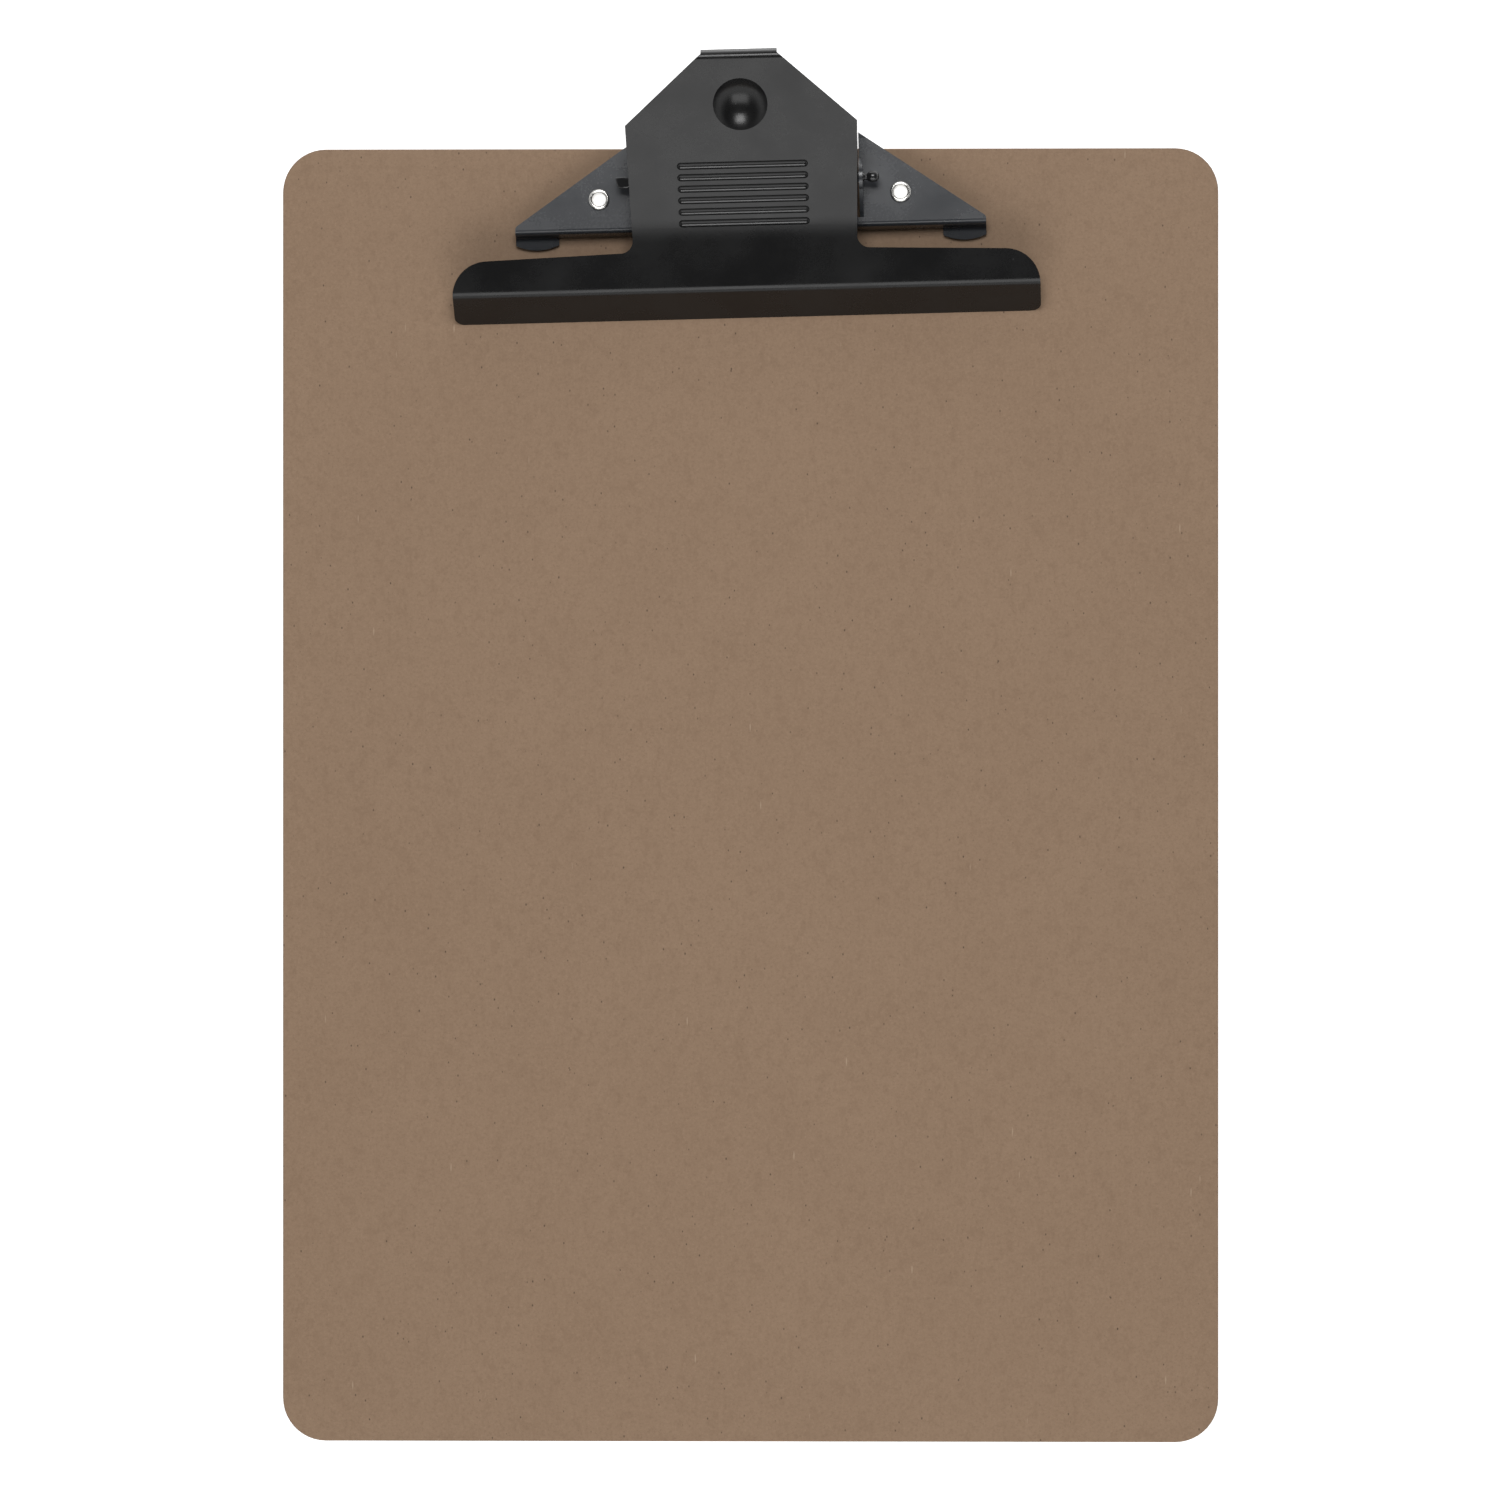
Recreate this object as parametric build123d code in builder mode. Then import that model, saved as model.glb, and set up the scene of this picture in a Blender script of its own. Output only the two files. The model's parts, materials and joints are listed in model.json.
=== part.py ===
from build123d import *

import os
from math import acos, atan2, cos, hypot, pi, radians, sin, tan

# Clipboard: a hardboard sheet with a spring clip of two steel pressings on a hinge pin.
# The origin is the centre of the board's back face, +Y runs towards the clip and
# +Z stands out of the writing face.
# Heights of the clip are measured from the writing face, and its y values from the pin,
# positive towards the thumb end.

# Board
board_width = 228.0
board_length = 315.0
board_thickness = 3.0
board_corner_radius = 10.5
board_edge_round = 0.4

# Where the clip stands on the board
pin_setback = 8.1  # from the board's top edge forward to the pin
pin_height = 10.0
clip_skew = 1.4  # degrees anticlockwise that the clip is riveted out of square

# Sheet metal and clearances
sheet = 0.9
seat_gap = 0.05  # between pressed feet or jaw and the board
side_gap = 0.15  # between a lever flange and the ear beside it
turn_clearance = 0.15  # radial, pin to lever holes
fit_clearance = 0.05  # radial, pin to ears and eyelets to their holes

# Base plate
base_height = 5.0  # of its top face
base_half_width = 57.3
base_slope = 34.5  # degrees of the wing's rear edge
base_apex_y = 29.5  # where the two rear edges would meet
tongue_end_y = 25.0
tongue_knee_y = 10.5
tongue_rise = 15.5  # degrees
tongue_knee_radius = 6.0
front_wall_y = -11.7  # of the sharp corner before bending
front_wall_lean = 12.0  # degrees
front_wall_clearance = 0.9  # from the wall's lower edge to the board
front_bend_radius = 1.4
foot_inner_x = 46.8
foot_ankle_height = 1.7
toe_side_y = -14.2
toe_end_y = -15.4  # at the middle of its arched end
toe_run_out = 1.0  # past the arched end, trimmed off again
tip_radius = 1.2

# Ears of the base plate
ear_outer_x = 27.6
ear_front_y = -9.5
ear_rear_y = 5.0
ear_top_radius = 3.2
ear_shoulder_angle = 20.0  # degrees up the round top where the straight sides start
window_inner_x = 17.0
slot_width = 2.1  # open strip behind each ear

# Pin
pin_radius = 1.2
pin_left_x = -32.1
pin_right_x = 31.6
pin_tab_length = 2.9
pin_tab_width = 2.8
pin_tab_thickness = 1.5
pin_neck_length = 1.0
pin_neck_radius = 0.8
pin_head_radius = 1.4

# Lever
neck_taper = 0.03  # growth of the neck's half width per mm towards the thumb
shoulder_y = 13.1
neck_front_y = -14.5
thumb_end_y = 29.6
thumb_half_width = 9.2
thumb_tilt = 22.0
thumb_lip_length = 3.0
thumb_bend_radius = 1.5
plate_bend_y = -12.5
plate_bend_height = 11.9
plate_bend_radius = 25.0
jaw_tilt = 6.0
jaw_bend_y = -26.6
jaw_bend_radius = 2.5
jaw_lip_slope = 58.0
jaw_half_length = 71.4
jaw_corner_radius = 2.5
jaw_run_out = 1.0  # of the lip below the board's face, trimmed off again
jaw_front_top = 30.0  # above the whole jaw
wing_inner_y = -17.1
wing_outer_y = -18.5
wing_corner_radius = 8.5
notch_radius = 3.0
flange_rear_depth = 4.0
flange_front_depth = 3.0
flange_hub_radius = 3.6

# Pressed shapes of the lever
groove_count = 6
groove_first_y = 3.2
groove_pitch = 2.72
groove_length = 31.9
groove_radius = 1.0
groove_depth = 0.6
groove_back_width = 2.3
groove_back_depth = 0.35
groove_back_taper = 20.0  # degrees
dimple_y = 17.5
dimple_depth = 3.2
dimple_sphere_radius = 8.4
dimple_wall = 0.8

# Spring
wire = 1.4
coil_radius = 3.3
coil_pitch = 1.5
coil_turns = 3
coil_outer_x = 23.2
spring_foot_y = 9.6
spring_bar_y = 8.5
spring_gap = 0.05

# Eyelets
rivet_pitch = 73.4
rivet_y = -3.6
eyelet_radius = 2.0
eyelet_bore_radius = 1.65
eyelet_ring_radius = 0.44  # of the rolled rim's section
eyelet_flange_radius = 3.75
eyelet_flange_thickness = 0.4
collar_wall = 0.9

# Worked out from the above
board_top_y = board_length / 2
pin_y = board_top_y - pin_setback
clip_place = Location((0, pin_y, board_thickness), (0, 0, clip_skew))
top_view = Plane(clip_place * Plane.XY.location)
side_view = Plane(clip_place * Plane.YZ.location)

ear_inner_x = ear_outer_x - sheet
neck_half_width = ear_outer_x + side_gap + sheet - neck_taper * ear_front_y
right_flange_limit = ear_inner_x - side_gap - neck_taper * ear_rear_y
lever_step = (neck_half_width - right_flange_limit) / 2  # the lever sits this far left
neck_half_width = (neck_half_width + right_flange_limit) / 2
lever_place = clip_place * Location((-lever_step, 0, 0))
lever_top_view = Plane(lever_place * Plane.XY.location)
lever_side_view = Plane(lever_place * Plane.YZ.location)
lever_front_view = Plane(lever_place * Plane.XZ.location)

pin_hole_radius = pin_radius + fit_clearance
lever_hole_radius = pin_radius + turn_clearance
rivet_hole_radius = eyelet_radius + fit_clearance
rivet_spots = [(-rivet_pitch / 2, rivet_y), (rivet_pitch / 2, rivet_y)]
far = 200.0  # longer than any cut


def thumb_height(y):
    """Height of the lever's upper face over the writing face, on its thumb part."""
    return plate_bend_height + (y - plate_bend_y) * tan(radians(thumb_tilt))


def base_half_width_at(y):
    """Half width of the base plate between its two rear edges."""
    return (base_apex_y - y) / tan(radians(base_slope))


def neck_half_width_at(y):
    """Half width of the lever's neck, outside its flanges."""
    return neck_half_width + neck_taper * y


# --- board -----------------------------------------------------------------------------
with BuildPart() as board:
    with BuildSketch(Plane.XY):
        RectangleRounded(board_width, board_length, board_corner_radius)
    extrude(amount=board_thickness)
    fillet(board.faces().sort_by(Axis.Z)[-1].edges(), board_edge_round)
    fillet(board.faces().sort_by(Axis.Z)[0].edges(), board_edge_round)
    with BuildSketch(top_view):
        with Locations(*rivet_spots):
            Circle(rivet_hole_radius)
    extrude(amount=-far, mode=Mode.SUBTRACT)
    with BuildSketch(top_view.offset(-board_thickness)):
        with Locations(*rivet_spots):
            Circle(eyelet_flange_radius + fit_clearance)
    extrude(amount=eyelet_flange_thickness + 2 * seat_gap, mode=Mode.SUBTRACT)

# --- base plate ------------------------------------------------------------------------
tongue_end_height = base_height + (tongue_end_y - tongue_knee_y) * tan(radians(tongue_rise))
wall_foot_y = front_wall_y - (base_height - front_wall_clearance) * tan(radians(front_wall_lean))
ankle_y = front_wall_y - (base_height - foot_ankle_height) * tan(radians(front_wall_lean))
wing_tip_y = base_apex_y - base_half_width * tan(radians(base_slope))
foot_middle_x = (foot_inner_x + base_half_width) / 2
slot_inner_x = ear_inner_x - slot_width
ear_tip_y = ear_top_radius * cos(radians(ear_shoulder_angle))
ear_tip_height = pin_height + ear_top_radius * sin(radians(ear_shoulder_angle))

with BuildPart() as base_plate:
    # Section from the tongue over the flat to the front wall, as wide as the wings
    with BuildSketch(side_view):
        with BuildLine():
            FilletPolyline(
                (tongue_end_y, tongue_end_height),
                (tongue_knee_y, base_height),
                (front_wall_y, base_height),
                (wall_foot_y, front_wall_clearance),
                radius=[tongue_knee_radius, front_bend_radius],
            )
            offset(amount=sheet, side=Side.LEFT)
        make_face()
    extrude(amount=base_half_width, both=True)

    # The two end feet, where the wall runs on down and turns out into a toe
    for side in (-1, 1):
        with BuildSketch(side_view.offset(side * foot_inner_x)):
            with BuildLine():
                FilletPolyline(
                    (0, base_height),
                    (front_wall_y, base_height),
                    (ankle_y, foot_ankle_height),
                    (toe_end_y - toe_run_out, sheet + seat_gap),
                    radius=[front_bend_radius, front_bend_radius],
                )
                offset(amount=sheet, side=Side.LEFT)
            make_face()
        extrude(amount=side * (base_half_width - foot_inner_x))

    # Plan outline: a triangle with its rear tip cut off, and arched toes
    with BuildSketch(top_view) as base_outline:
        with BuildLine():
            rear = Line((0, tongue_end_y), (base_half_width_at(tongue_end_y), tongue_end_y))
            slope = Line(rear @ 1, (base_half_width, wing_tip_y))
            end = Line(slope @ 1, (base_half_width, toe_side_y))
            toe = ThreePointArc(end @ 1, (foot_middle_x, toe_end_y), (foot_inner_x, toe_side_y))
            Line(toe @ 1, (0, toe_side_y))
            mirror(about=Plane.YZ)
        make_face()
        for side in (-1, 1):
            tip = base_outline.vertices().sort_by_distance((side * base_half_width, wing_tip_y))[0]
            fillet(tip, tip_radius)
    extrude(amount=far, mode=Mode.INTERSECT)

    # Windows that the ears were bent out of, and the slots behind them
    with BuildSketch(top_view):
        for side in (-1, 1):
            Polygon(
                (side * window_inner_x, ear_front_y),
                (side * ear_inner_x, ear_front_y),
                (side * ear_inner_x, tongue_end_y),
                (side * slot_inner_x, tongue_end_y),
                (side * slot_inner_x, ear_rear_y),
                (side * window_inner_x, ear_rear_y),
                align=None,
            )
    extrude(amount=far, mode=Mode.SUBTRACT)

    # Ears, with a round top on the pin's axis
    for side in (-1, 1):
        with BuildSketch(side_view.offset(side * ear_inner_x)):
            with BuildLine():
                front = Line((ear_front_y, base_height - sheet), (ear_front_y, base_height))
                rise = Line(front @ 1, (-ear_tip_y, ear_tip_height))
                crown = ThreePointArc(
                    rise @ 1, (0, pin_height + ear_top_radius), (ear_tip_y, ear_tip_height)
                )
                fall = Line(crown @ 1, (ear_rear_y, base_height))
                back = Line(fall @ 1, (ear_rear_y, base_height - sheet))
                Line(back @ 1, front @ 0)
            make_face()
        extrude(amount=side * sheet)

    # Collars drawn down to the board round the rivet holes
    with BuildSketch(top_view):
        with Locations(*rivet_spots):
            Circle(rivet_hole_radius + collar_wall)
    extrude(amount=base_height - sheet / 2)
    with BuildSketch(top_view):
        with Locations(*rivet_spots):
            Circle(rivet_hole_radius)
    extrude(amount=far, mode=Mode.SUBTRACT)

    # Pin holes through both ears
    with BuildSketch(side_view):
        with Locations((0, pin_height)):
            Circle(pin_hole_radius)
    extrude(amount=base_half_width, both=True, mode=Mode.SUBTRACT)

# --- eyelets ---------------------------------------------------------------------------
eyelet_back = -board_thickness + seat_gap
ring_centre_radius = eyelet_bore_radius + eyelet_ring_radius
ring_centre_height = base_height + seat_gap + eyelet_ring_radius


def build_eyelet(spot):
    """A tube with a flat flange behind the board and a rolled rim on the base plate."""
    axis_plane = Plane(clip_place * Location((*spot, 0)) * Plane.XZ.location)
    with BuildPart() as eyelet:
        with BuildSketch(axis_plane):
            Polygon(
                (eyelet_bore_radius, eyelet_back),
                (eyelet_flange_radius, eyelet_back),
                (eyelet_flange_radius, eyelet_back + eyelet_flange_thickness),
                (eyelet_radius, eyelet_back + eyelet_flange_thickness),
                (eyelet_radius, ring_centre_height),
                (eyelet_bore_radius, ring_centre_height),
                align=None,
            )
            with Locations((ring_centre_radius, ring_centre_height)):
                Circle(eyelet_ring_radius)
        revolve(axis=Axis(axis_plane.origin, axis_plane.y_dir))
    return eyelet.part


left_rivet = build_eyelet(rivet_spots[0])
right_rivet = build_eyelet(rivet_spots[1])

# --- pin -------------------------------------------------------------------------------
neck_start_x = ear_outer_x + 2 * side_gap
head_start_x = neck_start_x + pin_neck_length

with BuildPart() as pivot_pin:
    with BuildSketch(side_view.offset(pin_left_x + pin_tab_length)):
        with Locations((0, pin_height)):
            Circle(pin_radius)
    extrude(amount=neck_start_x - pin_left_x - pin_tab_length)

    # The left end is hammered flat and cut off aslant
    with BuildSketch(top_view.offset(pin_height)):
        Polygon(
            (pin_left_x, pin_tab_width / 2),
            (pin_left_x + pin_tab_length, pin_tab_width / 2),
            (pin_left_x + pin_tab_length, -pin_tab_width / 2),
            (pin_left_x + pin_tab_length / 4, -pin_tab_width / 2),
            align=None,
        )
    extrude(amount=pin_tab_thickness / 2, both=True)

    # The right end is pinched to a neck in front of a round head
    with BuildSketch(side_view.offset(neck_start_x)):
        with Locations((0, pin_height)):
            Circle(pin_neck_radius)
    extrude(amount=pin_neck_length)
    with BuildSketch(side_view.offset(head_start_x)):
        with Locations((0, pin_height)):
            Circle(pin_head_radius)
    extrude(amount=pin_right_x - head_start_x)
    fillet(pivot_pin.faces().sort_by(Axis.X)[-1].edges(), pin_head_radius * 0.7)

# --- lever -----------------------------------------------------------------------------
lip_angle = radians(thumb_tilt - 90)
lip_end_y = thumb_end_y + thumb_lip_length * cos(lip_angle)
lip_end_height = thumb_height(thumb_end_y) + thumb_lip_length * sin(lip_angle)
jaw_bend_height = plate_bend_height - (plate_bend_y - jaw_bend_y) * tan(radians(jaw_tilt))
jaw_start_y = neck_front_y + notch_radius  # inside the neck, to leave room for the notch
jaw_end_y = jaw_bend_y - (jaw_bend_height + jaw_run_out) / tan(radians(jaw_lip_slope))
thumb_plane = Plane(lever_place * Location((0, 0, thumb_height(0)), (thumb_tilt, 0, 0)))

# The pressing's section from the thumb lip to the jaw lip, as wide as the jaw
with BuildPart() as bent_sheet:
    with BuildSketch(lever_side_view):
        with BuildLine():
            FilletPolyline(
                (lip_end_y, lip_end_height),
                (thumb_end_y, thumb_height(thumb_end_y)),
                (plate_bend_y, plate_bend_height),
                (jaw_bend_y, jaw_bend_height),
                (jaw_end_y, -jaw_run_out),
                radius=[thumb_bend_radius, plate_bend_radius, jaw_bend_radius],
            )
            offset(amount=sheet, side=Side.LEFT)
        make_face()
    extrude(amount=jaw_half_length, both=True)

# The flanges: the side outline of one, cut to two strips along the neck's edges
with BuildPart() as flanges:
    with BuildSketch(lever_side_view):
        Polygon(
            (shoulder_y, thumb_height(shoulder_y) - sheet / 2),
            (shoulder_y, thumb_height(shoulder_y) - flange_rear_depth),
            (flange_hub_radius, pin_height - flange_hub_radius / 2),
            (-flange_hub_radius, pin_height - flange_hub_radius / 2),
            (neck_front_y, plate_bend_height - flange_front_depth),
            (neck_front_y, plate_bend_height - sheet),
            (plate_bend_y, plate_bend_height - sheet / 2),
            align=None,
        )
        with Locations((0, pin_height)):
            Circle(flange_hub_radius)
    extrude(amount=jaw_half_length, both=True)
    with BuildSketch(lever_top_view):
        for side in (-1, 1):
            Polygon(
                (side * neck_half_width_at(neck_front_y), neck_front_y),
                (side * neck_half_width_at(shoulder_y), shoulder_y),
                (side * (neck_half_width_at(shoulder_y) - sheet), shoulder_y),
                (side * (neck_half_width_at(neck_front_y) - sheet), neck_front_y),
                align=None,
            )
    extrude(amount=far, mode=Mode.INTERSECT)

# The neck and thumb part, with the flanges turned down from its two long edges
with BuildPart() as neck:
    add(bent_sheet.part)
    with BuildSketch(lever_top_view) as neck_outline:
        Polygon(
            (-neck_half_width_at(neck_front_y), neck_front_y),
            (neck_half_width_at(neck_front_y), neck_front_y),
            (neck_half_width_at(shoulder_y), shoulder_y),
            (thumb_half_width, thumb_end_y),
            (thumb_half_width, lip_end_y + sheet),
            (-thumb_half_width, lip_end_y + sheet),
            (-thumb_half_width, thumb_end_y),
            (-neck_half_width_at(shoulder_y), shoulder_y),
            align=None,
        )
    extrude(amount=far, mode=Mode.INTERSECT)
    add(flanges.part)

# The jaw, with its wings' corners rounded in plan and its lip's corners from the front
with BuildPart() as jaw:
    add(bent_sheet.part)
    with BuildSketch(lever_top_view) as jaw_outline:
        Polygon(
            (-neck_half_width_at(jaw_start_y), jaw_start_y),
            (neck_half_width_at(jaw_start_y), jaw_start_y),
            (neck_half_width_at(wing_inner_y), wing_inner_y),
            (jaw_half_length, wing_outer_y),
            (jaw_half_length, jaw_end_y - sheet),
            (-jaw_half_length, jaw_end_y - sheet),
            (-jaw_half_length, wing_outer_y),
            (-neck_half_width_at(wing_inner_y), wing_inner_y),
            align=None,
        )
        for side in (-1, 1):
            notch_point = (side * neck_half_width_at(wing_inner_y), wing_inner_y)
            fillet(jaw_outline.vertices().sort_by_distance(notch_point)[0], notch_radius)
            wing_point = (side * jaw_half_length, wing_outer_y)
            fillet(jaw_outline.vertices().sort_by_distance(wing_point)[0], wing_corner_radius)
    extrude(amount=far, mode=Mode.INTERSECT)
    with BuildSketch(lever_front_view) as jaw_front:
        Polygon(
            (-jaw_half_length, seat_gap),
            (jaw_half_length, seat_gap),
            (jaw_half_length, jaw_front_top),
            (-jaw_half_length, jaw_front_top),
            align=None,
        )
        fillet(jaw_front.vertices().group_by(Axis.Y)[0], jaw_corner_radius)
    extrude(amount=far, mode=Mode.INTERSECT)

# The metal behind the dimple, pushed through the plate
with BuildPart() as dimple_cup:
    dimple_centre = thumb_plane.from_local_coords(
        Vector(0, dimple_y / cos(radians(thumb_tilt)), dimple_sphere_radius - dimple_depth)
    )
    with Locations(dimple_centre):
        Sphere(dimple_sphere_radius + dimple_wall)
    split(bisect_by=thumb_plane.offset(-sheet / 2), keep=Keep.BOTTOM)

with BuildPart() as lever:
    add(neck.part)
    add(jaw.part)
    add(dimple_cup.part)

    # Round dimple, sunk into the thumb part
    with Locations(dimple_centre):
        Sphere(dimple_sphere_radius, mode=Mode.SUBTRACT)

    # Grooves, sunk across the thumb part, each with a ridge behind it
    groove_ys = [
        (groove_first_y - i * groove_pitch) / cos(radians(thumb_tilt)) for i in range(groove_count)
    ]
    with BuildSketch(thumb_plane.offset(-sheet / 2)):
        with Locations(*[(0, y) for y in groove_ys]):
            SlotOverall(groove_length + groove_back_width / 2, groove_back_width)
    extrude(amount=-(sheet / 2 + groove_back_depth), taper=groove_back_taper)
    for y in groove_ys:
        half_run = groove_length / 2 - groove_radius
        centre_height = groove_radius - groove_depth
        groove_start = thumb_plane.from_local_coords(Vector(-half_run, y, centre_height))
        groove_end = thumb_plane.from_local_coords(Vector(half_run, y, centre_height))
        with BuildSketch(Plane(origin=groove_start, z_dir=thumb_plane.x_dir)):
            Circle(groove_radius)
        extrude(amount=2 * half_run, mode=Mode.SUBTRACT)
        with Locations(groove_start, groove_end):
            Sphere(groove_radius, mode=Mode.SUBTRACT)

    # Pin holes through both flanges
    with BuildSketch(lever_side_view):
        with Locations((0, pin_height)):
            Circle(lever_hole_radius)
    extrude(amount=jaw_half_length, both=True, mode=Mode.SUBTRACT)

# --- spring ----------------------------------------------------------------------------
spring_foot = (spring_foot_y, base_height + wire / 2 + spring_gap - pin_height)
bar_drop = (sheet + wire / 2 + spring_gap) / cos(radians(thumb_tilt))
spring_bar = (spring_bar_y, thumb_height(spring_bar_y) - bar_drop - pin_height)


def tangent_angle(point, turn):
    """Angle at which a straight leg to the point leaves the coil, on the side turn."""
    return atan2(point[1], point[0]) + turn * acos(coil_radius / hypot(*point))


foot_angle = tangent_angle(spring_foot, -1)
bar_angle = tangent_angle(spring_bar, 1)
turns = coil_turns + 1 - (bar_angle - foot_angle) / (2 * pi)
lead = coil_pitch / (2 * pi * coil_radius)  # sideways run of the wire per length
foot_run = (hypot(*spring_foot) ** 2 - coil_radius**2) ** 0.5
bar_run = (hypot(*spring_bar) ** 2 - coil_radius**2) ** 0.5
bar_half_length = coil_outer_x - coil_pitch * turns - bar_run * lead
coil_start = Plane(
    origin=(coil_outer_x, 0, pin_height),
    x_dir=(0, cos(foot_angle), sin(foot_angle)),
    z_dir=(-1, 0, 0),
)
coil_place = clip_place * coil_start.location
coil = coil_place * Helix(pitch=coil_pitch, height=coil_pitch * turns, radius=coil_radius)

bar_y, bar_z = spring_bar

# The right half of the spring: foot leg, coil, upper leg and half of the middle bar
with BuildPart() as half_spring:
    with BuildSketch(Plane(origin=coil @ 0, z_dir=coil % 0)):
        Circle(wire / 2)
    sweep(path=coil, is_frenet=True)
    with BuildSketch(Plane(origin=coil @ 0, z_dir=-(coil % 0))):
        Circle(wire / 2)
    extrude(amount=foot_run * hypot(1, lead))
    with BuildSketch(Plane(origin=coil @ 1, z_dir=coil % 1)):
        Circle(wire / 2)
    extrude(amount=bar_run * hypot(1, lead))
    with BuildSketch(side_view):
        with Locations((bar_y, pin_height + bar_z)):
            Circle(wire / 2)
    extrude(amount=bar_half_length)
    with Locations(clip_place * Location((bar_half_length, bar_y, pin_height + bar_z))):
        Sphere(wire / 2)

with BuildPart() as torsion_spring:
    add(half_spring.part)
    mirror(about=side_view)

# --- the finished pieces ---------------------------------------------------------------
os.makedirs("parts", exist_ok=True)
pieces = {
    "board": board.part,
    "base_plate": base_plate.part,
    "lever": lever.part,
    "pivot_pin": pivot_pin.part,
    "torsion_spring": torsion_spring.part,
    "left_rivet": left_rivet,
    "right_rivet": right_rivet,
}
for name, piece in pieces.items():
    piece.label = name
    export_step(piece, f"parts/{name}.step")
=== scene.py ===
import json
import math

import bpy
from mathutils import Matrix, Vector


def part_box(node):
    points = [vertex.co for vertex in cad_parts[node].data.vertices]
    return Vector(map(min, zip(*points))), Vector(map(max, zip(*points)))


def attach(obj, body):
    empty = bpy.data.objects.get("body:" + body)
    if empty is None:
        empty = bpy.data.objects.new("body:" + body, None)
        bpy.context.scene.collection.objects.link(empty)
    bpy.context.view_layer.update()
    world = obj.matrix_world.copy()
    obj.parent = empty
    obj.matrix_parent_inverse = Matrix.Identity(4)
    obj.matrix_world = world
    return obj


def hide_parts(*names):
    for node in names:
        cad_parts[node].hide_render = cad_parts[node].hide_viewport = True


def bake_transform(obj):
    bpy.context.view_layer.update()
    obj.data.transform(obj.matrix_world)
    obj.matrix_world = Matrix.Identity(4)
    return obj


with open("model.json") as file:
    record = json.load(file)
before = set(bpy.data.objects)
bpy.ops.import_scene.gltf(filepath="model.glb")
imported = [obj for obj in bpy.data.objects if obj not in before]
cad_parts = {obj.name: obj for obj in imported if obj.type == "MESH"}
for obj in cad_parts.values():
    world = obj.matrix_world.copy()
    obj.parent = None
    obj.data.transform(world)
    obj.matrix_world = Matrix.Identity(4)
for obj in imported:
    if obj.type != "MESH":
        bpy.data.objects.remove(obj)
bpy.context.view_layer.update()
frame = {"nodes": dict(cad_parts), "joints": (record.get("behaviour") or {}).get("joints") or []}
nodes = frame["nodes"]
hinge = frame["joints"][0]

BOARD_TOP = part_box("board")[1].z  # the writing face

# Camera
PICTURE_WIDTH = 0.3655  # width of the scene at the board, in metres
CAMERA_DISTANCE = 2.5
CAMERA_LEAN = math.radians(1.6)  # how far the camera stands to the right of straight above
CAMERA_TARGET = Vector((0.0, 0.011, BOARD_TOP))
SENSOR = 36.0


# --- small helpers for shader nodes ------------------------------------------------------
class Shader:
    """A material's node tree with short calls for adding and joining nodes."""

    def __init__(self, name):
        self.material = bpy.data.materials.new(name)
        self.material.use_nodes = True
        self.tree = self.material.node_tree
        self.bsdf = self.tree.nodes["Principled BSDF"]
        self.point = self.node("ShaderNodeTexCoord").outputs["Object"]

    def node(self, kind, **settings):
        made = self.tree.nodes.new(kind)
        for key, value in settings.items():
            setattr(made, key, value)
        return made

    def feed(self, socket, value):
        """Joins an output to an input, or sets a plain value."""
        if isinstance(value, bpy.types.NodeSocket):
            self.tree.links.new(value, socket)
        else:
            socket.default_value = value

    def noise(self, scale, detail=2.0, roughness=0.5, stretch=(1, 1, 1)):
        made = self.node("ShaderNodeTexNoise")
        self.feed(made.inputs["Vector"], self.stretched(stretch))
        made.inputs["Scale"].default_value = scale
        made.inputs["Detail"].default_value = detail
        made.inputs["Roughness"].default_value = roughness
        return made.outputs["Fac"]

    def stretched(self, scale, turn=(0, 0, 0)):
        mapping = self.node("ShaderNodeMapping")
        self.feed(mapping.inputs["Vector"], self.point)
        mapping.inputs["Scale"].default_value = scale
        mapping.inputs["Rotation"].default_value = turn
        return mapping.outputs["Vector"]

    def cells(self, scale, stretch=(1, 1, 1), turn=(0, 0, 0)):
        """Distance to the nearest of many scattered points, and that point's random colour."""
        made = self.node("ShaderNodeTexVoronoi")
        self.feed(made.inputs["Vector"], self.stretched(stretch, turn))
        made.inputs["Scale"].default_value = scale
        return made.outputs["Distance"], made.outputs["Color"]

    def span(self, value, low, high, to_low=0.0, to_high=1.0):
        """value from low..high spread to to_low..to_high, held at both ends."""
        made = self.node("ShaderNodeMapRange", clamp=True)
        self.feed(made.inputs["Value"], value)
        made.inputs["From Min"].default_value = low
        made.inputs["From Max"].default_value = high
        made.inputs["To Min"].default_value = to_low
        made.inputs["To Max"].default_value = to_high
        return made.outputs["Result"]

    def math(self, operation, a, b=0.0):
        made = self.node("ShaderNodeMath", operation=operation)
        self.feed(made.inputs[0], a)
        self.feed(made.inputs[1], b)
        return made.outputs[0]

    def mix(self, share, a, b):
        """Colour a where share is 0, and b where it is 1."""
        made = self.node("ShaderNodeMix", data_type="RGBA")
        self.feed(made.inputs[0], share)
        self.feed(made.inputs[6], a)
        self.feed(made.inputs[7], b)
        return made.outputs[2]

    def bump(self, height, distance, strength=1.0, after=None):
        made = self.node("ShaderNodeBump")
        self.feed(made.inputs["Height"], height)
        made.inputs["Distance"].default_value = distance
        made.inputs["Strength"].default_value = strength
        if after is not None:
            self.feed(made.inputs["Normal"], after)
        return made.outputs["Normal"]

    def facing(self, axis):
        """The surface normal's part along an axis of the object: 0, 1 or 2."""
        split = self.node("ShaderNodeSeparateXYZ")
        self.feed(split.inputs[0], self.node("ShaderNodeTexCoord").outputs["Normal"])
        return split.outputs[axis]

    def set(self, **values):
        """Sets or joins inputs of the principled shader by name, with _ for a space."""
        for key, value in values.items():
            self.feed(self.bsdf.inputs[key.replace("_", " ")], value)
        return self.material


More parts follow.
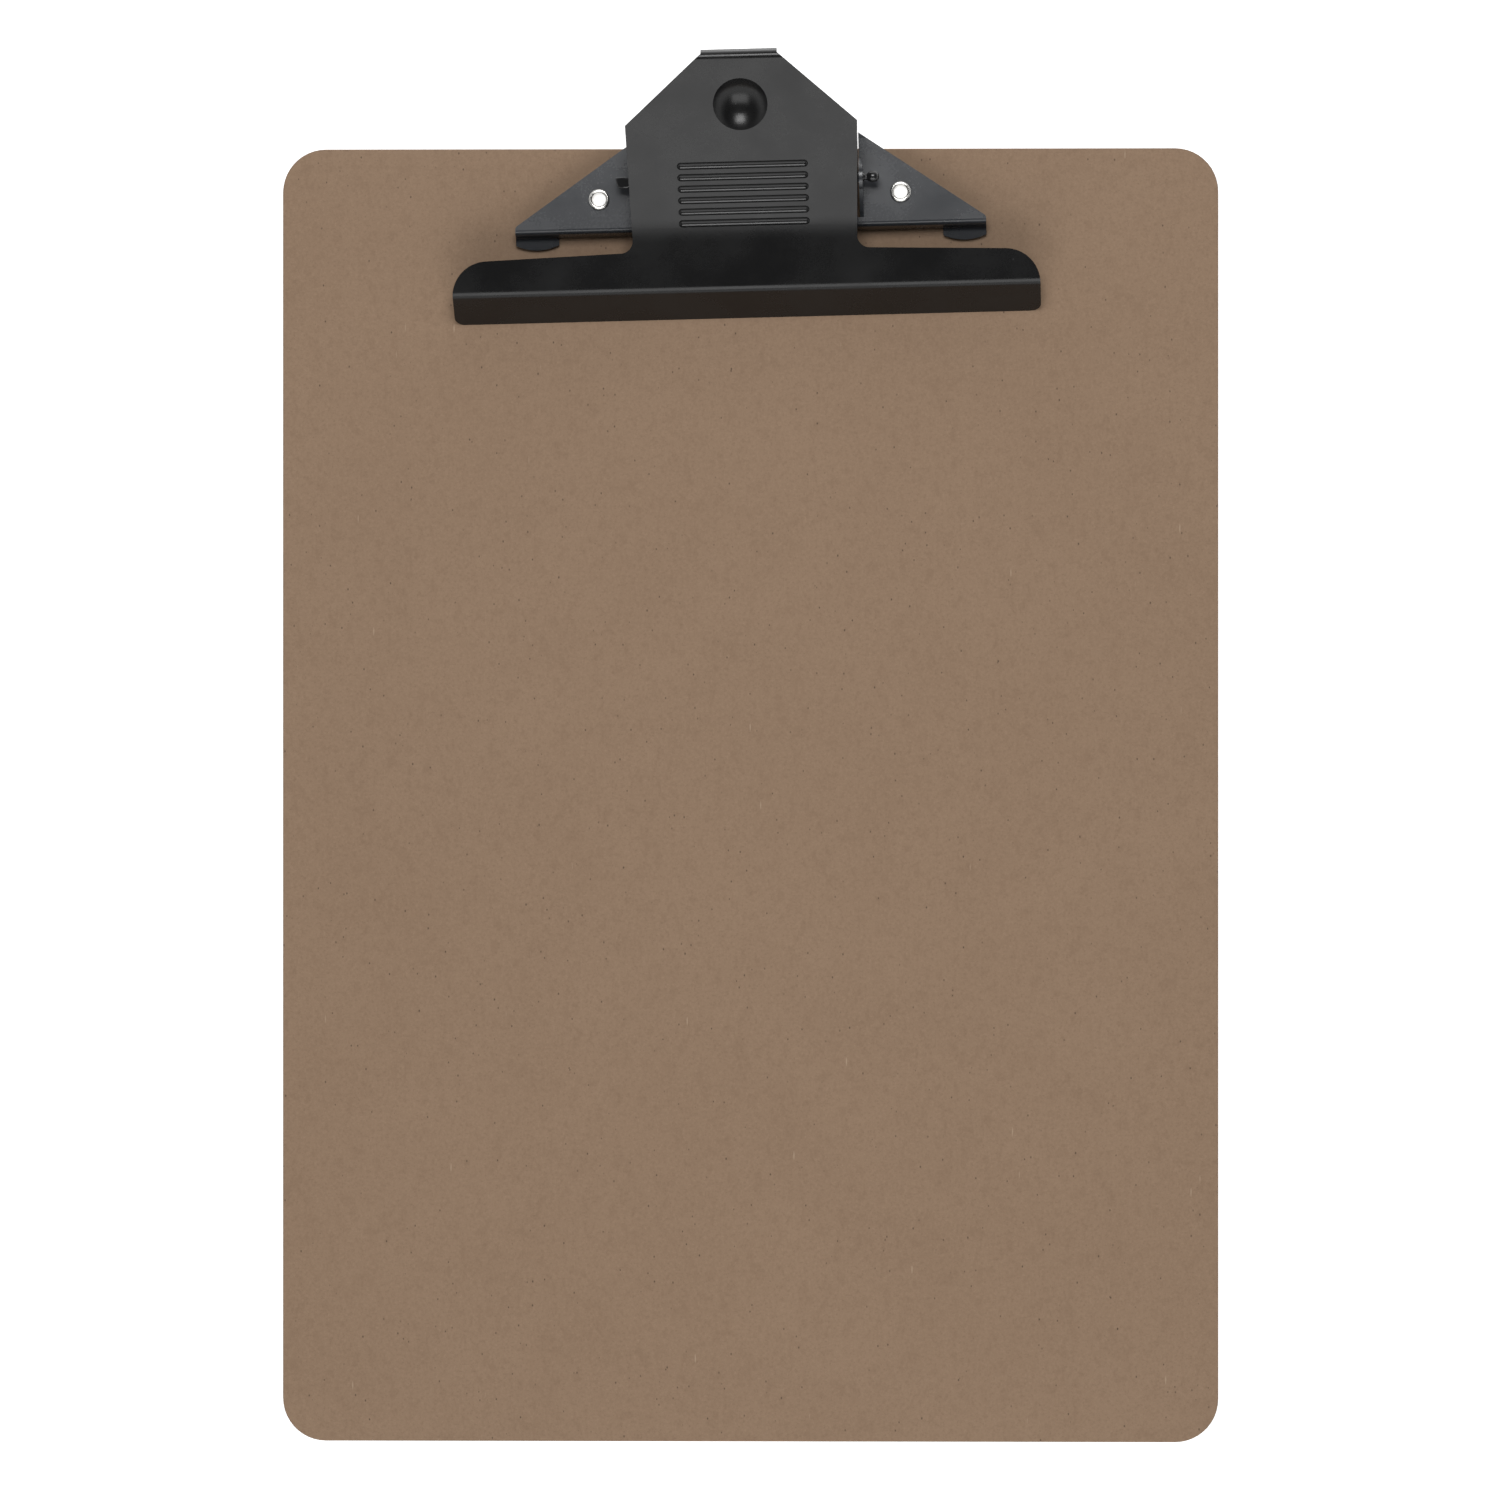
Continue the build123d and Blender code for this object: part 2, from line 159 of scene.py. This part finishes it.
def rgb(r, g, b):
    return (r, g, b, 1.0)


# --- materials ---------------------------------------------------------------------------
def hardboard():
    """Pressed brown fibreboard: fine felted grain, dark specks, pale short fibres and soft
    mottling, with a screen pattern pressed into its back and darker cut edges."""
    m = Shader("hardboard")
    ground = rgb(0.292, 0.193, 0.123)
    light = rgb(0.345, 0.235, 0.155)
    dark = rgb(0.225, 0.142, 0.087)
    bark = rgb(0.055, 0.03, 0.018)
    loose_fibre = rgb(0.5, 0.38, 0.27)
    cut_edge = rgb(0.11, 0.07, 0.045)
    screen_print = rgb(0.14, 0.09, 0.055)

    mottle = m.span(m.noise(16, 5, 0.6), 0.32, 0.68)
    colour = m.mix(m.math("MULTIPLY", mottle, 0.22), ground, light)
    cloud = m.span(m.noise(48, 4, 0.6), 0.35, 0.7)
    colour = m.mix(m.math("MULTIPLY", cloud, 0.14), colour, dark)
    grain = m.noise(1500, 5, 0.75)
    felt = m.noise(520, 3, 0.6, (1, 0.7, 1))
    colour = m.mix(m.span(grain, 0.52, 0.72, 0, 0.75), colour, light)
    colour = m.mix(m.span(grain, 0.48, 0.28, 0, 0.8), colour, dark)
    colour = m.mix(m.span(felt, 0.5, 0.3, 0, 0.35), colour, dark)

    # Dark specks of bark and pale loose fibres, each in some of the cells only
    speck_sets = ((260, 0.065, 0.55, 0.3), (520, 0.12, 0.7, 1.1), (800, 0.16, 0.8, 2.0))
    for scale, size, share, turn in speck_sets:
        distance, chance = m.cells(scale, (1, 0.62, 1), (0, 0, turn))
        chosen = m.span(chance, share, share + 0.02)
        speck = m.math("MULTIPLY", m.span(distance, size, size * 0.4), chosen)
        colour = m.mix(m.math("MULTIPLY", speck, 0.75), colour, bark)
    for turn in (0.5, 2.2):
        distance, chance = m.cells(420, (1, 0.16, 1), (0, 0, turn))
        fibre = m.math("MULTIPLY", m.span(distance, 0.09, 0.03), m.span(chance, 0.8, 0.82))
        colour = m.mix(m.math("MULTIPLY", fibre, 0.55), colour, loose_fibre)

    # Cut edges are darker than the faces
    up = m.math("ABSOLUTE", m.facing(2))
    edge = m.span(up, 0.75, 0.35)
    colour = m.mix(m.math("MULTIPLY", edge, 0.62), colour, cut_edge)

    # The back keeps the print of the press's wire screen
    screen = m.span(m.facing(2), -0.6, -0.9)
    for axis in ("X", "Y"):
        wave = m.node("ShaderNodeTexWave", wave_type="BANDS", bands_direction=axis)
        m.feed(wave.inputs["Vector"], m.point)
        wave.inputs["Scale"].default_value = 200
        screen = m.math("MULTIPLY", screen, wave.outputs["Fac"])
    colour = m.mix(m.math("MULTIPLY", screen, 0.3), colour, screen_print)

    normal = m.bump(grain, 0.00006, 0.6)
    normal = m.bump(screen, 0.0002, 0.8, normal)
    return m.set(
        Base_Color=colour,
        Roughness=m.span(grain, 0.3, 0.7, 0.55, 0.72),
        Specular_IOR_Level=0.3,
        Normal=normal,
    )


def black_paint(name, tone, bright, rough, peel, specular):
    """Baked black paint on steel, from tone to bright: orange peel, which peel scales the
    height of, faint cloudiness and dust-fine flecks."""
    m = Shader(name)
    cloud = m.span(m.noise(60, 3, 0.5), 0.35, 0.65)
    colour = m.mix(m.math("MULTIPLY", cloud, 0.35), tone, bright)
    distance, chance = m.cells(700)
    fleck = m.math("MULTIPLY", m.span(distance, 0.12, 0.05), m.span(chance, 0.93, 0.95))
    colour = m.mix(m.math("MULTIPLY", fleck, 0.35), colour, rgb(0.16, 0.16, 0.16))
    fine = m.noise(1500, 3, 0.6)
    broad = m.noise(350, 2, 0.5)
    normal = m.bump(fine, 0.00001 * peel, 0.5)
    normal = m.bump(broad, 0.00002 * peel, 0.15, normal)
    uneven = m.math("ADD", m.math("MULTIPLY", fine, 0.5), m.math("MULTIPLY", cloud, 0.5))
    return m.set(
        Base_Color=colour,
        Roughness=m.span(uneven, 0.2, 0.8, rough - 0.05, rough + 0.07),
        Specular_IOR_Level=specular,
        Normal=normal,
    )


def bare_metal(name, tone, bright, rough, stretch):
    """Plated or drawn metal with fine drawing lines and uneven polish."""
    m = Shader(name)
    lines = m.noise(900, 4, 0.6, stretch)
    patch = m.noise(300, 3, 0.5)
    return m.set(
        Base_Color=m.mix(m.span(patch, 0.3, 0.7), tone, bright),
        Metallic=1.0,
        Roughness=m.span(lines, 0.3, 0.7, rough - 0.05, rough + 0.08),
        Normal=m.bump(lines, 0.00001, 0.4),
    )


def give(node, material):
    """Puts one material on a CAD node in place of its own."""
    slots = nodes[node].data.materials
    slots.clear()
    slots.append(material)


board_finish = hardboard()
lever_finish = black_paint(
    "lever_black", rgb(0.0045, 0.0045, 0.0047), rgb(0.0065, 0.0065, 0.0067),
    rough=0.27, peel=0.8, specular=0.42,
)
# The base plate's paint is set lighter and bluer than the lever's: painted reflection, standing in for
# the sheen of the glossier plate
base_paint_and_painted_reflection = black_paint(
    "base_black", rgb(0.03, 0.033, 0.038), rgb(0.038, 0.041, 0.047),
    rough=0.27, peel=0.8, specular=0.8,
)
pin_finish = black_paint(
    "pin_black", rgb(0.008, 0.008, 0.009), rgb(0.012, 0.012, 0.012),
    rough=0.16, peel=0.4, specular=0.6,
)
nickel = bare_metal("nickel", rgb(0.7, 0.69, 0.66), rgb(0.82, 0.81, 0.78), 0.2, (1, 1, 1))
spring_steel = bare_metal("spring_steel", rgb(0.3, 0.3, 0.31), rgb(0.42, 0.42, 0.43), 0.3, (0.2, 1, 1))

give("board", board_finish)
give("lever", lever_finish)
give("base_plate", base_paint_and_painted_reflection)


# --- fine pieces in place of CAD nodes ---------------------------------------------------
# Their sizes are in millimetres
MM = 0.001
HINGE = Vector(hinge["pos_m"])
RIGHT = -Vector(hinge["axis"])  # along the pin, to the right
UP = Vector((0, 0, 1))
REAR = UP.cross(RIGHT)
WIRE_RADIUS = 0.7
COIL_RADIUS = 3.3
COIL_OUTER_X = 23.2
COIL_INNER_X = 18.1
COIL_WINDING = 4  # whole turns wound back from the bar's angle, which leaves 3.4 of wire
COIL_STEPS = 160
SPRING_FOOT = (9.6, -4.25)  # rearward and up from the pin
FOOT_SPREAD = 0.7  # of the foot's end, outward from the coil
SPRING_BAR = (8.5, 8.55)
BAR_INSET = 0.85  # of the corner where the upper leg turns into the bar
BAR_CORNER = 1.6  # of each leg that the corner's curve takes up
BAR_CORNER_STEPS = 8
WIRE_ROUND = 20  # points round the wire
ROUND = 48  # points round the pin and the eyelets


def hinge_point(x, y, z):
    """A point given in millimetres from the middle of the pin."""
    return HINGE + MM * (x * RIGHT + y * REAR + z * UP)


def skin(name, rings, material, closed=False):
    """A smooth mesh through rings of points, joined end to end or capped."""
    around = len(rings[0])
    points = [p for ring in rings for p in ring]
    faces = []
    for i in range(len(rings) if closed else len(rings) - 1):
        a, b = i * around, (i + 1) % len(rings) * around
        for j in range(around):
            k = (j + 1) % around
            faces.append((a + j, a + k, b + k, b + j))
    if not closed:
        faces.append(tuple(reversed(range(around))))
        faces.append(tuple(range(len(points) - around, len(points))))
    mesh = bpy.data.meshes.new(name)
    mesh.from_pydata(points, [], faces)
    mesh.validate()
    mesh.update()
    mesh.shade_smooth()
    mesh.materials.append(material)
    piece = bpy.data.objects.new(name, mesh)
    bpy.context.scene.collection.objects.link(piece)
    return piece


def ellipse(centre, across, along, half_across, half_along, power=1.0):
    """A ring of points round a centre; a power under 1 makes it squarer."""
    ring = []
    for i in range(ROUND):
        angle = 2 * math.pi * i / ROUND
        c, s = math.cos(angle), math.sin(angle)
        c = math.copysign(abs(c) ** power, c)
        s = math.copysign(abs(s) ** power, s)
        ring.append(centre + MM * (half_across * c * across + half_along * s * along))
    return ring


def tangent_angle(point, turn):
    """Angle at which a straight leg to the point leaves the coil."""
    reach = math.hypot(*point)
    return math.atan2(point[1], point[0]) + turn * math.acos(COIL_RADIUS / reach)


def spring_half(side):
    """Foot leg, coil, upper leg and half of the middle bar, as points along the wire."""
    start = tangent_angle(SPRING_FOOT, -1)
    finish = tangent_angle(SPRING_BAR, 1) - 2 * math.pi * COIL_WINDING
    path = [(COIL_OUTER_X + FOOT_SPREAD, *SPRING_FOOT)]
    for i in range(COIL_STEPS + 1):
        share = i / COIL_STEPS
        angle = start + (finish - start) * share
        x = COIL_OUTER_X + (COIL_INNER_X - COIL_OUTER_X) * share
        path.append((x, COIL_RADIUS * math.cos(angle), COIL_RADIUS * math.sin(angle)))
    corner = Vector((COIL_INNER_X - BAR_INSET, *SPRING_BAR))
    before = corner + (Vector(path[-1]) - corner).normalized() * BAR_CORNER
    after = corner - Vector((BAR_CORNER, 0, 0))
    for i in range(BAR_CORNER_STEPS + 1):
        t = i / BAR_CORNER_STEPS
        path.append(tuple(before * (1 - t) ** 2 + corner * 2 * t * (1 - t) + after * t * t))
    path.append((0.0, *SPRING_BAR))
    return [hinge_point(side * x, y, z) for x, y, z in path]


def wire_rings(path):
    """Circles along a path, each turned as little as possible from the one before."""
    rings = []
    across = None
    for i, point in enumerate(path):
        ahead = (path[min(i + 1, len(path) - 1)] - path[max(i - 1, 0)]).normalized()
        across = ahead.orthogonal() if across is None else across - ahead * across.dot(ahead)
        across = across.normalized()
        along = ahead.cross(across)
        rings.append([
            point + MM * WIRE_RADIUS * (across * math.cos(a) + along * math.sin(a))
            for a in (2 * math.pi * j / WIRE_ROUND for j in range(WIRE_ROUND))
        ])
    return rings


for side, name in ((-1, "spring_left_coil"), (1, "spring_right_coil")):
    half = skin(name, wire_rings(spring_half(side)), spring_steel)
    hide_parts("torsion_spring")
    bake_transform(half)


def pin():
    """Hinge pin: a flat slanted tab at the left, a shaft, a pinched neck and a round head."""
    # x, half width, half height, squareness, and slant of the end
    tab = [
        (-32.1, 1.0, 0.45, 0.5, 0.25), (-31.9, 1.35, 0.72, 0.45, 0.25),
        (-29.5, 1.4, 0.75, 0.45, 0), (-29.2, 1.32, 0.9, 0.7, 0),
    ]
    # x and radius
    shaft = [(-28.9, 1.2), (27.8, 1.2)]
    neck = [(27.95, 1.0), (28.2, 0.8), (28.7, 0.8), (29.0, 1.05)]
    head = [(29.4, 1.35), (30.1, 1.4), (30.8, 1.35), (31.3, 1.05), (31.55, 0.6), (31.6, 0.2)]
    turned = [(x, radius, radius, 1, 0) for x, radius in shaft + neck + head]
    rings = []
    for x, half_width, half_height, power, slant in tab + turned:
        ring = ellipse(hinge_point(x, 0, 0), REAR, UP, half_width, half_height, power)
        rings.append([p - RIGHT * slant * (p - HINGE).dot(REAR) for p in ring])
    piece = skin("pivot_pin_fine", rings, pin_finish)
    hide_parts("pivot_pin")
    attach(piece, "root")


def eyelet(node):
    """A rolled-over tube: round rim on the plate, straight bore, flat flange at the back."""
    low_corner, high_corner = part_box(node)
    centre = (low_corner + high_corner) / 2
    axis = Vector((centre.x, centre.y, 0))
    top, bottom = high_corner.z / MM, low_corner.z / MM
    bore, tube, flange, rim = 1.65, 2.0, 3.75, 0.44  # radii, the last of the rolled section
    flange_thickness, flange_round = 0.4, 0.1
    profile = [(bore, bottom + 0.15), (bore, top - rim)]
    profile += [
        (bore + rim - rim * math.cos(a), top - rim + rim * math.sin(a))
        for a in (math.pi * i / 12 for i in range(1, 12))
    ]
    profile += [(bore + 2 * rim, top - rim), (bore + 1.7 * rim, top - 1.75 * rim)]
    profile += [(tube, top - 2 * rim), (tube, bottom + flange_thickness)]
    profile += [
        (flange - flange_round, bottom + flange_thickness),
        (flange, bottom + flange_thickness - flange_round),
        (flange, bottom + flange_round),
        (flange - flange_round, bottom),
    ]
    profile += [(bore + 0.2, bottom), (bore + 0.05, bottom + 0.05)]
    rings = [
        ellipse(axis + Vector((0, 0, z * MM)), Vector((1, 0, 0)), Vector((0, 1, 0)), r, r)
        for r, z in profile
    ]
    piece = skin(node + "_fine", rings, nickel, closed=True)
    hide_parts(node)
    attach(piece, "root")


pin()
eyelet("left_rivet")
eyelet("right_rivet")


# --- light, floor and camera -------------------------------------------------------------
LIGHT_AIM = Vector((0, 0.13, 0))


def softbox(name, tilt, distance, width, depth, radiance):
    """A soft panel aimed at the clip, tilt degrees from overhead towards the thumb end."""
    light = bpy.data.lights.new(name, "AREA")
    light.shape = "RECTANGLE"
    light.size, light.size_y = width, depth
    light.energy = radiance * math.pi * width * depth
    panel = bpy.data.objects.new(name, light)
    angle = math.radians(tilt)
    panel.location = LIGHT_AIM + distance * Vector((0, math.sin(angle), math.cos(angle)))
    panel.rotation_euler = (LIGHT_AIM - panel.location).to_track_quat("-Z", "Y").to_euler()
    panel.visible_camera = False
    bpy.context.scene.collection.objects.link(panel)


softbox("key_softbox", tilt=24, distance=0.85, width=0.4, depth=0.36, radiance=8.2)
softbox("front_card", tilt=-45, distance=0.9, width=0.85, depth=0.5, radiance=2.3)


def sky():
    """White at the horizon, darker overhead."""
    world = bpy.data.worlds.new("studio")
    world.use_nodes = True
    tree = world.node_tree
    place = tree.nodes.new("ShaderNodeTexCoord")
    split = tree.nodes.new("ShaderNodeSeparateXYZ")
    fall = tree.nodes.new("ShaderNodeMapRange")
    fall.interpolation_type = "SMOOTHSTEP"
    for key, value in (("From Min", 0.2), ("From Max", 0.6), ("To Min", 1.0), ("To Max", 0.1)):
        fall.inputs[key].default_value = value
    tree.links.new(place.outputs["Generated"], split.inputs[0])
    tree.links.new(split.outputs[2], fall.inputs["Value"])
    tree.links.new(fall.outputs["Result"], tree.nodes["Background"].inputs["Strength"])
    tree.nodes["Background"].inputs["Color"].default_value = rgb(1, 1, 1)
    return world


def floor():
    """A white floor under the board, lifted to full white only as it is seen."""
    bpy.ops.mesh.primitive_plane_add(size=6, location=(0, 0, -0.0002))
    plane = bpy.context.object
    plane.name = "floor"
    m = Shader("floor_white")
    path = m.node("ShaderNodeLightPath")
    seen = m.math("MAXIMUM", path.outputs["Is Camera Ray"], path.outputs["Is Glossy Ray"])
    seen = m.math("MAXIMUM", seen, path.outputs["Is Transmission Ray"])
    m.set(
        Base_Color=m.mix(m.noise(8, 2), rgb(0.86, 0.86, 0.86), rgb(0.88, 0.88, 0.88)),
        Roughness=0.9,
        Specular_IOR_Level=0.1,
        Emission_Color=rgb(1, 1, 1),
        Emission_Strength=m.math("MULTIPLY", seen, 0.8),
    )
    plane.data.materials.append(m.material)


def camera():
    lens = bpy.data.cameras.new("camera")
    lens.sensor_width = SENSOR
    lens.lens = SENSOR * CAMERA_DISTANCE / PICTURE_WIDTH
    lens.clip_end = 20
    stand = bpy.data.objects.new("camera", lens)
    back = Vector((math.sin(CAMERA_LEAN), 0, math.cos(CAMERA_LEAN)))
    stand.location = CAMERA_TARGET + CAMERA_DISTANCE * back
    stand.rotation_euler = (0, CAMERA_LEAN, 0)
    bpy.context.scene.collection.objects.link(stand)
    bpy.context.scene.camera = stand


bpy.context.scene.world = sky()
floor()
camera()
bpy.context.scene.view_settings.view_transform = "Standard"
